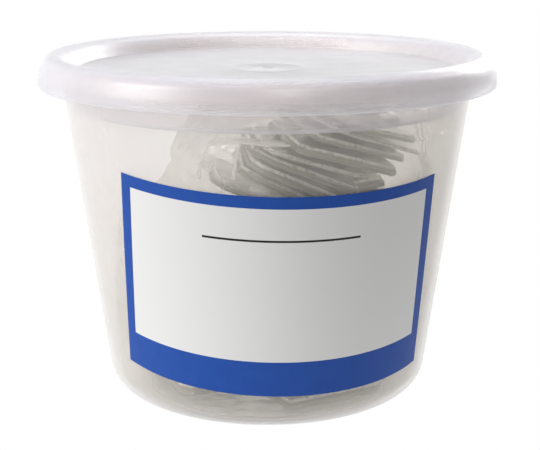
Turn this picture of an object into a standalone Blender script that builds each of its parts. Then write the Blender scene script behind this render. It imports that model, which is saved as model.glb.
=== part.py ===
"""A press-lidded plastic tub holding a bag of mica crystal plates.

Metres, +Z up. The origin is the centre of the tub's flat base, and the tub's axis is Z.
"""
import math
import random

import bmesh
import bpy
from mathutils import Matrix, Vector

MM = 0.001

# Tub: a tapered injection-moulded wall with a rounded foot and a rolled rim
TUB_BASE_RADIUS = 41.9 * MM      # where the wall's slope would meet the table
TUB_TAPER = 0.140                # growth of the radius for each unit of height
TUB_WALL = 1.1 * MM
TUB_FLOOR = 1.2 * MM
FOOT_ROUND = 8.3 * MM
RIM_RADIUS = 58.2 * MM
RIM_TOP = 88.6 * MM
RIM_DROP = 4.2 * MM              # how far the rolled rim hangs down outside
RIM_ROUND = 1.5 * MM

# Lid: a hollow rim that grips the tub's rim, a sunk panel and a sealing skirt inside the tub
LID_RADIUS = 60.0 * MM
LID_TOP = 90.3 * MM
LID_BOTTOM = 82.2 * MM
LID_WALL = 1.1 * MM
LID_CREST_RADIUS = 56.0 * MM
LID_BEAD_HEIGHT = 0.9 * MM       # the lid is widest here above its bottom edge, and grips inside
LID_WELL_RADIUS = 50.3 * MM      # foot of the well's sloping wall, round the flat panel
LID_PANEL_TOP = 85.9 * MM
LID_SKIRT_BOTTOM = 76.6 * MM
LID_SKIRT_WALL = 1.0 * MM

# Label: one printed sheet laid flat on the tapered wall, a little right of the front
LABEL_WIDTH = 85.4 * MM
LABEL_HEIGHT = 52.0 * MM
LABEL_CENTRE_HEIGHT = 36.2 * MM
LABEL_AZIMUTH = math.radians(-90.0 + 4.5)
LABEL_TILT = math.radians(-1.3)
LABEL_PAPER = 0.2 * MM

# Bag: a loose film pouch, its mouth folded in over the plates
BAG_FILM = 0.3 * MM
BAG_CLEARANCE = 0.6 * MM
BAG_NECK = 4.0 * MM              # the film narrows this far below the lid's skirt
BAG_FLOOR_HEIGHT = 1.8 * MM
BAG_FLOOR_RADIUS = 35.5 * MM
BAG_SQUARENESS = 2.6             # 2 gives an ellipse, more a squarer section
# Sections from the floor up: height, centre x, centre y, half width in x and in y, all in mm.
# Above 50 mm the film is drawn away from the tub's left wall, where nothing fills it.
BAG_SECTIONS = (
    (3.4, 0.0, 0.0, 38.5, 38.5),
    (9.0, 0.0, 0.0, 40.5, 40.5),
    (26.0, 1.0, 0.0, 42.0, 42.0),
    (46.0, 3.0, 0.0, 43.0, 44.0),
    (54.0, 9.0, -1.0, 39.0, 46.0),
    (63.0, 13.0, -3.0, 38.0, 48.0),
    (71.0, 13.0, -6.0, 39.0, 47.0),
    (79.0, 13.0, -9.0, 38.0, 42.0),
    (82.8, 13.0, -11.0, 29.0, 31.0),
    (83.8, 13.0, -6.0, 10.0, 11.0),
)

# Mica plates: cut to about 3 by 2 cm and split along the cleavage to differing thickness
PLATE_LENGTH = 30.0 * MM
PLATE_WIDTH = 20.0 * MM
PILE_PLATE = 2.7 * MM
PILE_REACH = 22.0 * MM           # from the heap's middle to the middle of each pile
PILE_MIDDLE = (2.2 * MM, 0.0)
PILE_FOOT = 4.3 * MM             # height of the lowest plates' middles
PILE_TURN = 9.0                  # how far a plate may be turned or tipped, in degrees
PILE_TIP = 3.0
PILE_DRIFT = 1.5 * MM
# Three piles stand round the heap's middle: azimuth in degrees, number of plates
PILES = ((-158.0, 11), (40.0, 18), (-60.0, 12))
# Plates spread like cards at the heap's front, from the lowest up. Each is placed by the middle of
# its upper front edge, x, y, z in mm, then by its heading, fall to the right and rise to the back
# in degrees, and has its thickness in mm.
FRONT_PLATES = (
    (0.5, -40.5, 59.0, 9.0, 24.0, 8.0, 2.0),
    (6.6, -42.7, 61.2, 13.0, 26.8, 11.0, 2.2),
    (8.4, -42.7, 63.7, 14.0, 24.6, 12.0, 2.0),
    (10.3, -42.5, 66.1, 16.0, 22.0, 12.5, 1.8),
    (13.2, -42.3, 67.5, 19.0, 18.6, 13.0, 1.1),
    (20.4, -39.6, 69.0, 29.0, 16.6, 13.0, 2.2),
    (24.4, -37.2, 70.8, 36.0, 16.8, 13.0, 1.5),
    (29.6, -33.0, 71.2, 43.0, 16.4, 13.0, 0.9),
    (31.0, -31.2, 73.6, 46.0, 14.4, 12.5, 1.6),
)

TOUCH_GAP = 0.3 * MM
TURN_STEPS = 48
BAG_STEPS = 32
SEED = 11


def clear_scene():
    for obj in list(bpy.data.objects):
        bpy.data.objects.remove(obj, do_unlink=True)


def make_collection(name):
    collection = bpy.data.collections.new(name)
    bpy.context.scene.collection.children.link(collection)
    return collection


def make_material(name, colour, roughness, transmission=0.0, ior=1.5):
    material = bpy.data.materials.new(name)
    material.use_nodes = True
    shader = material.node_tree.nodes["Principled BSDF"]
    shader.inputs["Base Color"].default_value = (*colour, 1.0)
    shader.inputs["Roughness"].default_value = roughness
    shader.inputs["Metallic"].default_value = 0.0
    shader.inputs["Transmission Weight"].default_value = transmission
    shader.inputs["IOR"].default_value = ior
    return material


def add_object(name, mesh, material, collection):
    obj = bpy.data.objects.new(name, mesh)
    mesh.materials.append(material)
    collection.objects.link(obj)
    return obj


def turned(name, profile, material, collection):
    """A body of revolution: a profile in the XZ plane swept round Z by a Screw modifier."""
    mesh = bpy.data.meshes.new(name)
    edges = [(i, i + 1) for i in range(len(profile) - 1)]
    mesh.from_pydata([(radius, 0.0, z) for radius, z in profile], edges, [])
    obj = add_object(name, mesh, material, collection)
    screw = obj.modifiers.new("Screw", "SCREW")
    screw.axis = "Z"
    screw.angle = math.tau
    screw.steps = TURN_STEPS
    screw.render_steps = TURN_STEPS
    screw.use_merge_vertices = True
    screw.merge_threshold = 0.00001
    screw.use_smooth_shade = True
    return obj


def arc(centre, radius, start, end, steps):
    """Points on an arc in the profile plane, with angles in degrees from +X towards +Z."""
    points = []
    for i in range(steps + 1):
        angle = math.radians(start + (end - start) * i / steps)
        points.append((centre[0] + radius * math.cos(angle), centre[1] + radius * math.sin(angle)))
    return points


# ---------------------------------------------------------------- tub

def tub_outer(z):
    """Radius of the wall's outer face at height z."""
    return TUB_BASE_RADIUS + TUB_TAPER * z


def tub_inner(z):
    return tub_outer(z) - TUB_WALL


def foot_centre_radius():
    """Where the foot's rounding is centred, so that it runs smoothly into the leaning wall."""
    return tub_outer(FOOT_ROUND) - FOOT_ROUND / math.cos(math.atan(TUB_TAPER))


def tub_profile():
    """From the middle of the inner floor, up the inside, over the rim and down to the base."""
    lean = math.degrees(math.atan(TUB_TAPER))
    inner_round = FOOT_ROUND - TUB_WALL
    foot_radius = foot_centre_radius()
    lip_inner = RIM_RADIUS - TUB_WALL
    lip_end = RIM_TOP - RIM_DROP
    under_rim = RIM_TOP - TUB_WALL
    round_height = RIM_TOP - RIM_ROUND

    inner_foot = arc((foot_radius, TUB_FLOOR + inner_round), inner_round, -90.0, -lean, 4)
    over_inside = arc((tub_inner(round_height) + RIM_ROUND, round_height), RIM_ROUND, 180.0, 90.0, 2)
    over_outside = arc((RIM_RADIUS - RIM_ROUND, round_height), RIM_ROUND, 90.0, 0.0, 3)
    lip = [(RIM_RADIUS, lip_end), (lip_inner, lip_end), (lip_inner, under_rim)]
    under = [(tub_outer(under_rim), under_rim)]
    outer_foot = arc((foot_radius, FOOT_ROUND), FOOT_ROUND, -lean, -90.0, 5)
    return ([(0.0, TUB_FLOOR)] + inner_foot + over_inside + over_outside + lip + under
            + outer_foot + [(0.0, 0.0)])


# ---------------------------------------------------------------- lid

def skirt_outer(z):
    """Outer face of the sealing skirt, clear of the tub's inner wall and of its facets."""
    facet_sag = RIM_RADIUS * (1.0 - math.cos(math.pi / TURN_STEPS))
    return tub_inner(z) - TOUCH_GAP - facet_sag


def lid_rim_face():
    """The rim's outer face, from the crest down to the bottom edge, a leaning quarter curve."""
    points = []
    fullest = LID_BOTTOM + LID_BEAD_HEIGHT
    steps = 6
    flatness = 1.11              # 1 gives an ellipse, more a straighter shoulder
    for i in range(steps + 1):
        angle = math.pi / 2 * (1.0 - i / steps)
        reach = math.cos(angle) ** flatness
        rise = math.sin(angle) ** flatness
        points.append((LID_CREST_RADIUS + (LID_RADIUS - LID_CREST_RADIUS) * reach,
                       fullest + (LID_TOP - fullest) * rise))
    points.append((LID_RADIUS - 0.5 * MM, LID_BOTTOM))
    return points


def lid_profile():
    """From the panel's middle, up over the rim, down its face, and back along the underside."""
    crest_inside = LID_CREST_RADIUS - 2.6 * MM
    well = [(0.0, LID_PANEL_TOP),
            (LID_WELL_RADIUS - 1.5 * MM, LID_PANEL_TOP),
            (LID_WELL_RADIUS, LID_PANEL_TOP + 0.6 * MM),
            (crest_inside - 1.4 * MM, LID_TOP - 2.3 * MM),
            (crest_inside, LID_TOP - 0.8 * MM),
            (LID_CREST_RADIUS - 1.2 * MM, LID_TOP - 0.15 * MM)]
    bead = [(LID_RADIUS - 1.4 * MM, LID_BOTTOM),
            (RIM_RADIUS - 0.2 * MM, LID_BOTTOM + LID_BEAD_HEIGHT)]
    round_height = RIM_TOP - RIM_ROUND
    groove_round = RIM_ROUND + TOUCH_GAP
    groove = ([(RIM_RADIUS + TOUCH_GAP, RIM_TOP - RIM_DROP - 0.5 * MM)]
              + arc((RIM_RADIUS - RIM_ROUND, round_height), groove_round, 0.0, 90.0, 3)
              + arc((tub_inner(round_height) + RIM_ROUND, round_height), groove_round, 90.0, 180.0, 2))
    skirt_end = skirt_outer(LID_SKIRT_BOTTOM)
    skirt = [(skirt_end, LID_SKIRT_BOTTOM),
             (skirt_end - LID_SKIRT_WALL, LID_SKIRT_BOTTOM),
             (skirt_outer(LID_PANEL_TOP) - LID_SKIRT_WALL - 0.8 * MM, LID_PANEL_TOP - LID_WALL)]
    return well + lid_rim_face() + bead + groove + skirt + [(0.0, LID_PANEL_TOP - LID_WALL)]


# ---------------------------------------------------------------- label

def on_wall(along, up, lift):
    """A point of the flat label laid on the cone, which is unrolled about its apex."""
    lean = math.atan(TUB_TAPER)
    apex_distance = tub_outer(LABEL_CENTRE_HEIGHT) / math.sin(lean)
    east = along * math.cos(LABEL_TILT) - up * math.sin(LABEL_TILT)
    north = apex_distance + along * math.sin(LABEL_TILT) + up * math.cos(LABEL_TILT)
    radius = math.hypot(east, north) * math.sin(lean)
    azimuth = LABEL_AZIMUTH + math.atan2(east, north) / math.sin(lean)
    height = (radius - TUB_BASE_RADIUS) / TUB_TAPER
    radial = Vector((math.cos(azimuth), math.sin(azimuth), 0.0))
    outward = radial * math.cos(lean) - Vector((0.0, 0.0, math.sin(lean)))
    return radial * radius + Vector((0.0, 0.0, height)) + outward * lift


def make_label(material, collection):
    mesh = bpy.data.meshes.new("label")
    bm = bmesh.new()
    bmesh.ops.create_grid(bm, x_segments=24, y_segments=1, size=0.5)
    for vert in bm.verts:
        vert.co = on_wall(vert.co.x * LABEL_WIDTH, vert.co.y * LABEL_HEIGHT, TOUCH_GAP)
    bm.to_mesh(mesh)
    bm.free()
    obj = add_object("label", mesh, material, collection)
    paper = obj.modifiers.new("Paper", "SOLIDIFY")
    paper.thickness = LABEL_PAPER
    paper.offset = 1.0
    return obj


# ---------------------------------------------------------------- bag

def bag_limit(z):
    """The furthest that the film may reach inside the foot, the wall and the sealing skirt."""
    inner_round = FOOT_ROUND - TUB_WALL
    centre_height = TUB_FLOOR + inner_round
    if z < centre_height:
        wall = foot_centre_radius() + math.sqrt(inner_round ** 2 - (centre_height - z) ** 2)
    elif z < LID_SKIRT_BOTTOM - BAG_NECK:
        wall = tub_inner(z)
    else:
        wall = skirt_outer(LID_SKIRT_BOTTOM) - LID_SKIRT_WALL
    return wall - BAG_CLEARANCE


def place_ring(ring, z, centre_x, centre_y, half_x, half_y):
    """Set a ring of vertices on a squarish oval, pressed flat where it meets the tub's wall."""
    for i, vert in enumerate(ring):
        angle = math.tau * i / len(ring)
        east, north = math.cos(angle), math.sin(angle)
        bulge = (abs(east) ** BAG_SQUARENESS + abs(north) ** BAG_SQUARENESS) ** (-1 / BAG_SQUARENESS)
        point = Vector((centre_x + half_x * bulge * east, centre_y + half_y * bulge * north))
        point *= min(1.0, bag_limit(z) / point.length)
        vert.co = (point.x, point.y, z)


def make_bag(material, collection):
    """An open pouch: a floor, and a ring of edges extruded from it up to the folded mouth."""
    mesh = bpy.data.meshes.new("bag")
    bm = bmesh.new()
    circle = bmesh.ops.create_circle(bm, segments=BAG_STEPS, radius=BAG_FLOOR_RADIUS, cap_ends=True)
    ring = circle["verts"]
    place_ring(ring, BAG_FLOOR_HEIGHT, 0.0, 0.0, BAG_FLOOR_RADIUS, BAG_FLOOR_RADIUS)
    edges = list(bm.edges)
    bmesh.ops.poke(bm, faces=list(bm.faces))
    for section in BAG_SECTIONS:
        grown = bmesh.ops.extrude_edge_only(bm, edges=edges)["geom"]
        above = {item for item in grown if isinstance(item, bmesh.types.BMVert)}
        edges = [item for item in grown if isinstance(item, bmesh.types.BMEdge)]
        edges = [edge for edge in edges if above.issuperset(edge.verts)]
        ring = [next(e.other_vert(v) for e in v.link_edges if e.other_vert(v) in above) for v in ring]
        place_ring(ring, *[value * MM for value in section])
    bmesh.ops.recalc_face_normals(bm, faces=bm.faces)
    bm.to_mesh(mesh)
    bm.free()
    obj = add_object("bag", mesh, material, collection)
    film = obj.modifiers.new("Film", "SOLIDIFY")
    film.thickness = BAG_FILM
    film.offset = -1.0
    return obj


# ---------------------------------------------------------------- mica

def plate_outline(rng, length, width):
    """A rectangle with chipped corners: eight points, counterclockwise."""
    points = []
    corners = ((1, -1, True), (1, 1, False), (-1, 1, True), (-1, -1, False))
    for side_x, side_y, long_edge_first in corners:
        chip = rng.uniform(0.5, 3.2) * MM
        x = side_x * (length / 2 - rng.uniform(0.0, 0.8) * MM)
        y = side_y * (width / 2 - rng.uniform(0.0, 0.8) * MM)
        on_long_edge = (x - side_x * chip * rng.uniform(0.8, 2.0), y)
        on_short_edge = (x, y - side_y * chip)
        pair = [on_long_edge, on_short_edge]
        points += pair if long_edge_first else pair[::-1]
    return points


def raise_face(bm, face, height):
    """Extrude one face straight up and return the new top. A lone face stays as the floor."""
    is_lone = all(edge.is_boundary for edge in face.edges)
    grown = bmesh.ops.extrude_face_region(bm, geom=[face])["geom"]
    top = next(item for item in grown if isinstance(item, bmesh.types.BMFace))
    for vert in top.verts:
        vert.co.z += height
    if not is_lone:
        bmesh.ops.delete(bm, geom=[face], context="FACES_ONLY")
    return top


def plate_mesh(name, rng, thickness):
    """A cleaved plate: the outline raised, stepped in along its edge, and raised again."""
    length = PLATE_LENGTH * rng.uniform(0.94, 1.0)
    width = PLATE_WIDTH * rng.uniform(0.92, 1.0)
    lower = thickness * rng.uniform(0.45, 0.65)
    mesh = bpy.data.meshes.new(name)
    bm = bmesh.new()
    outline = bmesh.ops.create_circle(bm, segments=8, radius=width / 2, cap_ends=True)["verts"]
    for vert, (x, y) in zip(outline, plate_outline(rng, length, width)):
        vert.co = (x, y, -thickness / 2)
    base = next(iter(bm.faces))
    ledge = raise_face(bm, base, lower)
    bmesh.ops.inset_region(bm, faces=[ledge], thickness=rng.uniform(0.3, 0.8) * MM)
    slip = Vector((rng.uniform(-0.25, 0.25) * MM, rng.uniform(-0.25, 0.25) * MM, 0.0))
    for vert in ledge.verts:
        vert.co += slip
    raise_face(bm, ledge, thickness - lower)
    bmesh.ops.recalc_face_normals(bm, faces=bm.faces)
    bm.to_mesh(mesh)
    bm.free()
    return mesh


def turn(yaw, slope, roll):
    """Heading of the long edge, its fall towards +X, and the rise of the far edge, in degrees."""
    return (Matrix.Rotation(math.radians(yaw), 4, "Z")
            @ Matrix.Rotation(math.radians(slope), 4, "Y")
            @ Matrix.Rotation(math.radians(roll), 4, "X"))


class PlateMaker:
    """Numbers the plates and puts each one in place."""

    def __init__(self, material, collection):
        self.material = material
        self.collection = collection
        self.rng = random.Random(SEED)
        self.count = 0

    def add(self, thickness, centre, rotation):
        self.count += 1
        name = f"mica_{self.count:02d}"
        mesh = plate_mesh(name, self.rng, thickness)
        obj = add_object(name, mesh, self.material, self.collection)
        obj.location = centre
        obj.rotation_euler = rotation.to_euler()


def make_pile(plates, azimuth, count):
    """Plates lying on each other, each turned and tipped a little from the one below."""
    rng = plates.rng
    heading = math.radians(azimuth)
    middle = Vector((PILE_MIDDLE[0] + PILE_REACH * math.cos(heading),
                     PILE_MIDDLE[1] + PILE_REACH * math.sin(heading)))
    height = PILE_FOOT
    below = None
    for i in range(count):
        loose = min(1.0, i / 4)
        thickness = PILE_PLATE * rng.uniform(0.75, 1.2)
        yaw = azimuth + 90.0 + rng.uniform(-PILE_TURN, PILE_TURN) * loose
        slope = rng.uniform(-PILE_TIP, PILE_TIP) * loose
        roll = rng.uniform(-PILE_TIP, PILE_TIP) * loose
        drift = Vector((rng.uniform(-1.0, 1.0), rng.uniform(-1.0, 1.0))) * PILE_DRIFT * loose
        if below is not None:
            rock = PLATE_LENGTH / 2 * math.sin(math.radians(abs(slope - below[1])))
            sway = PLATE_WIDTH / 2 * math.sin(math.radians(abs(roll - below[2])))
            height += (thickness + below[0]) / 2 + rock + sway + 2 * TOUCH_GAP
        place = middle + drift
        plates.add(thickness, Vector((place.x, place.y, height)), turn(yaw, slope, roll))
        below = (thickness, slope, roll)


def make_front(plates):
    """The plates at the front of the heap, slid over each other like a spread pack of cards."""
    for x, y, z, heading, fall, rise, thickness in FRONT_PLATES:
        rotation = turn(heading, fall, rise)
        from_edge = Vector((0.0, PLATE_WIDTH / 2, -thickness * MM / 2))
        centre = Vector((x, y, z)) * MM + rotation.to_3x3() @ from_edge
        plates.add(thickness * MM, centre, rotation)


def main():
    clear_scene()
    parts = make_collection("mica_tub")
    frosted = make_material("polypropylene", (0.80, 0.79, 0.79), 0.35, transmission=0.5)
    paper = make_material("label_paper", (0.75, 0.77, 0.80), 0.45)
    film = make_material("bag_film", (0.85, 0.85, 0.84), 0.15, transmission=0.8)
    mica = make_material("muscovite_mica", (0.55, 0.56, 0.47), 0.12, transmission=0.6, ior=1.58)

    turned("tub", tub_profile(), frosted, parts)
    turned("lid", lid_profile(), frosted, parts)
    make_label(paper, parts)
    make_bag(film, parts)
    plates = PlateMaker(mica, parts)
    for azimuth, count in PILES:
        make_pile(plates, azimuth, count)
    make_front(plates)


main()
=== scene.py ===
# %% [markdown]
# # A tub of mica plates
#
# The object is a round plastic tub with a snap-on lid and a printed label. Inside it a thin film bag
# holds fifty plates of muscovite mica, each about 3 by 2 cm. The solid model fixes every place and
# size. This lesson gives each solid a finer skin and its real material, then lights it.

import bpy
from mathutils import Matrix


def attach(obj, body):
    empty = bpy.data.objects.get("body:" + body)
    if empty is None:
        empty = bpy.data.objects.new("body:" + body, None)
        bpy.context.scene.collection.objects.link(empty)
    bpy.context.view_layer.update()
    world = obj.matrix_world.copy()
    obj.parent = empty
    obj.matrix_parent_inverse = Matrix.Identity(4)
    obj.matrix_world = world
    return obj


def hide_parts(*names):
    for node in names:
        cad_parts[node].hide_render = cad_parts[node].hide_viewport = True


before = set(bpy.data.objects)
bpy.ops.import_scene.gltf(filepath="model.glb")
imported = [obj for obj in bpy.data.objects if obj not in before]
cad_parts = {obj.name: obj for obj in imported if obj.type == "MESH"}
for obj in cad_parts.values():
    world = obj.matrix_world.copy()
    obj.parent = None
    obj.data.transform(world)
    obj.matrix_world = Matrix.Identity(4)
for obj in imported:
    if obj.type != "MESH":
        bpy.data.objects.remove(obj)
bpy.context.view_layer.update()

# %% [markdown]
# ## Working by hand, in code
#
# Operators act on whatever is selected, so each piece starts with nothing selected. A finished piece
# rides on the model's one body, takes its materials, and hides the solids that it stands for.

# %% Units and the finishing step
import math

import bpy
from mathutils import Vector, noise

MM = 0.001
scene = bpy.context.scene


def deselect():
    bpy.ops.object.select_all(action="DESELECT")


def finish(piece, name, nodes, materials):
    """Name the piece, dress it, set it on the body, and hide the solids that it stands for."""
    piece.name = name
    piece.data.name = name
    piece.data.materials.clear()
    for material in materials:
        piece.data.materials.append(material)
    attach(piece, "root")
    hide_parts(*nodes)
    triangles = sum(len(polygon.vertices) - 2 for polygon in piece.data.polygons)
    print(f"{name}: {triangles} triangles")


# %% [markdown]
# ## Helpers for materials
#
# Colours are picked as sRGB hex values, as on a screen, and Blender wants them linear. One function
# converts them, and one adds a node with its settings and its links.

# %% Colour and node helpers
def linear(hex_colour):
    """An sRGB hex colour as linear red, green, blue and alpha."""
    channels = [int(hex_colour[i:i + 2], 16) / 255 for i in (0, 2, 4)]
    return (*[c / 12.92 if c <= 0.04045 else ((c + 0.055) / 1.055) ** 2.4 for c in channels], 1.0)


def add_node(tree, kind, settings=None, links=None):
    """Add a node. Settings are its own properties or its sockets' values; links feed its sockets."""
    node = tree.nodes.new(kind)
    for key, value in (settings or {}).items():
        if isinstance(key, str) and hasattr(node, key):
            setattr(node, key, value)
        else:
            node.inputs[key].default_value = value
    for key, socket in (links or {}).items():
        tree.links.new(socket, node.inputs[key])
    return node


def start_material(name):
    """An empty material's tree and its output node."""
    material = bpy.data.materials.new(name)
    material.use_nodes = True
    tree = material.node_tree
    tree.nodes.clear()
    return material, tree, add_node(tree, "ShaderNodeOutputMaterial")


print("mid grey on a screen is", round(linear("808080")[0], 3), "of white light")

# %% [markdown]
# ## Turned pieces
#
# The tub and the lid are round. They could be cylinders with their rings moved one by one, but then
# every small corner needs loops of its own. Here half a cross-section is spun about the axis, and a
# corner is just an arc in the section. A small plane is merged to one point, the point is extruded
# from corner to corner, and the outline is spun once round. Merging the seam and the poles closes
# the skin before its faces are turned out.

# %% Spin a profile
TURN_STEPS = 128                 # sides of each turned piece
SAME_POINT = 0.002 * MM          # points closer than this are merged
SMOOTH_ANGLE = math.radians(40.0)


def arc(centre, radius, start, end, steps):
    """Points on an arc in the section's plane, with angles in degrees from +X towards +Z."""
    angles = [math.radians(start + (end - start) * i / steps) for i in range(steps + 1)]
    return [(centre[0] + radius * math.cos(a), centre[1] + radius * math.sin(a)) for a in angles]


def thicken_look(piece, amount_at):
    """Store how milky the plastic's bulk makes it at each point, from radius and height."""
    bulk = piece.data.attributes.new("bulk", "FLOAT", "POINT")
    for vert in piece.data.vertices:
        bulk.data[vert.index].value = amount_at(math.hypot(vert.co.x, vert.co.y), vert.co.z)


def turned(profile):
    """Extrude one point along the profile and spin the line about Z."""
    deselect()
    bpy.ops.mesh.primitive_plane_add(size=MM)
    bpy.ops.object.mode_set(mode="EDIT")
    bpy.ops.mesh.merge(type="CENTER")
    bpy.ops.transform.translate(value=(profile[0][0], 0.0, profile[0][1]))
    for (radius, height), (next_radius, next_height) in zip(profile, profile[1:]):
        step = (next_radius - radius, 0.0, next_height - height)
        bpy.ops.mesh.extrude_region_move(TRANSFORM_OT_translate={"value": step})
    bpy.ops.mesh.select_all(action="SELECT")
    bpy.ops.mesh.spin(steps=TURN_STEPS, angle=math.tau, center=(0.0, 0.0, 0.0), axis=(0.0, 0.0, 1.0))
    bpy.ops.mesh.select_all(action="SELECT")
    bpy.ops.mesh.remove_doubles(threshold=SAME_POINT)
    bpy.ops.mesh.normals_make_consistent(inside=False)
    bpy.ops.object.mode_set(mode="OBJECT")
    bpy.ops.object.shade_smooth_by_angle(angle=SMOOTH_ANGLE)
    return bpy.context.object


print("each turned piece has", TURN_STEPS, "sides")

# %% [markdown]
# ## Gloss on a see-through body
#
# A clear plastic still mirrors the room: a few hundredths of the light head on, and most of it at a
# grazing look. A Fresnel node would mirror everything where a look leaves a closed wall from inside,
# so the share comes from the facing angle to the fifth power, which is close to the real curve.

# %% The gloss layer
HEAD_ON_GLOSS = 0.03
EDGE_ON_GLOSS = 0.60


def glossed(tree, body, roughness, normal):
    """Lay a plastic's gloss over a body that may be see-through."""
    mirror = add_node(tree, "ShaderNodeBsdfPrincipled",
                      {"Base Color": linear("FFFFFF"), "Metallic": 1.0, "Roughness": roughness},
                      {"Normal": normal})
    facing = add_node(tree, "ShaderNodeLayerWeight", {"Blend": 0.5}, {"Normal": normal})
    steep = add_node(tree, "ShaderNodeMath", {"operation": "POWER", 1: 5.0},
                     {0: facing.outputs["Facing"]})
    share = add_node(tree, "ShaderNodeMapRange",
                     {"To Min": HEAD_ON_GLOSS, "To Max": EDGE_ON_GLOSS},
                     {"Value": steep.outputs[0]})
    return add_node(tree, "ShaderNodeMixShader", {},
                    {0: share.outputs["Result"], 1: body, 2: mirror.outputs[0]}).outputs[0]


# %% [markdown]
# ## Frosted plastic
#
# The tub is natural polypropylene and the lid is softer polyethylene, both injection moulded. The
# plastic has no pigment. It is milky because its crystals scatter light, so a thin wall is nearly
# clear and a thick bead is almost white. Clear and scattering parts are mixed by angle, as a grazing
# look passes through more plastic, and by an attribute named bulk that says where the plastic is
# thick. Slow flow in the mould leaves faint clouds, and the mould's satin steel leaves a fine grain
# under a soft gloss.

# %% Milky plastics
MOULD_GRAIN = 0.5 * MM           # coarser than the real grain, so that it shows


def milky_plastic(name, clear, edge_clear, tint, body, roughness, cloud_size, glow):
    """Natural plastic. Clear shares are for one skin of the wall, looked at squarely and edge on."""
    material, tree, output = start_material(name)
    coordinates = add_node(tree, "ShaderNodeTexCoord")
    clouds = add_node(tree, "ShaderNodeTexNoise",
                      {"Scale": 1.0 / cloud_size, "Detail": 3.0, "Roughness": 0.55},
                      {"Vector": coordinates.outputs["Object"]})
    grain = add_node(tree, "ShaderNodeTexNoise",
                     {"Scale": 1.0 / MOULD_GRAIN, "Detail": 2.0},
                     {"Vector": coordinates.outputs["Object"]})
    skin = add_node(tree, "ShaderNodeBump", {"Strength": 0.08, "Distance": 0.02 * MM},
                    {"Height": grain.outputs["Fac"]})
    see_through = add_node(tree, "ShaderNodeBsdfTransparent", {"Color": linear(tint)})
    surface = add_node(tree, "ShaderNodeBsdfPrincipled",
                       {"Base Color": linear(body), "Roughness": roughness, "IOR": 1.49},
                       {"Normal": skin.outputs["Normal"]})
    scatter = add_node(tree, "ShaderNodeBsdfTranslucent", {"Color": linear(body)})
    solid = add_node(tree, "ShaderNodeMixShader", {0: glow},
                     {1: surface.outputs[0], 2: scatter.outputs[0]})
    facing = add_node(tree, "ShaderNodeLayerWeight", {"Blend": 0.35})
    milk = add_node(tree, "ShaderNodeMapRange", {"To Min": 1.0 - clear, "To Max": 1.0 - edge_clear},
                    {"Value": facing.outputs["Facing"]})
    cloudy = add_node(tree, "ShaderNodeMapRange",
                      {"From Min": 0.3, "From Max": 0.7, "To Min": 0.85, "To Max": 1.15},
                      {"Value": clouds.outputs["Fac"]})
    walls = add_node(tree, "ShaderNodeMath", {"operation": "MULTIPLY", "use_clamp": True},
                     {0: milk.outputs["Result"], 1: cloudy.outputs["Result"]})
    bulk = add_node(tree, "ShaderNodeAttribute", {"attribute_name": "bulk"})
    share = add_node(tree, "ShaderNodeMath", {"operation": "MAXIMUM"},
                     {0: walls.outputs[0], 1: bulk.outputs["Fac"]})
    whole = add_node(tree, "ShaderNodeMixShader", {},
                     {0: share.outputs[0], 1: see_through.outputs[0], 2: solid.outputs[0]})
    skin_gloss = glossed(tree, whole.outputs[0], roughness, skin.outputs["Normal"])
    tree.links.new(skin_gloss, output.inputs["Surface"])
    return material


polypropylene = milky_plastic("natural_polypropylene", clear=0.93, edge_clear=0.45, tint="FCFBFA",
                              body="EEEAE9", roughness=0.30, cloud_size=18.0 * MM, glow=0.62)
polyethylene = milky_plastic("natural_polyethylene", clear=0.86, edge_clear=0.20, tint="FCFAFA",
                             body="E8EAF0", roughness=0.34, cloud_size=14.0 * MM, glow=0.65)
print("plastics:", polypropylene.name, "and", polyethylene.name)

# %% [markdown]
# ## The tub
#
# A thin wall leans out from a rounded foot and rolls over into a rim. A see-through wall shows its
# inner face too, so the section goes up the inside and down the outside. The underside has a shallow
# recess, so that the tub stands on a ring, with the small mark of the mould's gate at its middle.

# %% The tub's measures
BASE_RADIUS = 41.9 * MM          # where the wall's slope would meet the table
TAPER = 0.140                    # growth of the radius for each unit of height
WALL = 1.1 * MM
FLOOR = 1.2 * MM
FOOT_ROUND = 8.3 * MM
RIM_RADIUS = 58.2 * MM
RIM_TOP = 88.6 * MM
RIM_DROP = 4.2 * MM
RIM_ROUND = 1.5 * MM
LIP_ROUND = 0.8 * MM             # inner corner of the rolled rim
NECK_ROUND = 0.5 * MM            # where the rim's underside meets the wall
RECESS_RADIUS = 30.6 * MM
RECESS_SLOPE = 0.6 * MM          # how much wider the recess is at the table
RECESS_DEPTH = 0.4 * MM
GATE_RADIUS = 1.4 * MM
GATE_SLOPE = 0.5 * MM
GATE_DEPTH = 0.15 * MM
WALL_HEIGHTS = (20.0, 35.0, 50.0, 65.0, 78.0)  # rings along the straight wall, in mm
LEAN = math.atan(TAPER)
FOOT_RADIUS = BASE_RADIUS + TAPER * FOOT_ROUND - FOOT_ROUND / math.cos(LEAN)  # of its arc's centre


def tub_outer(height):
    return BASE_RADIUS + TAPER * height


def tub_inner(height):
    return tub_outer(height) - WALL


print("the wall leans out by", round(math.degrees(LEAN), 2), "degrees")

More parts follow.
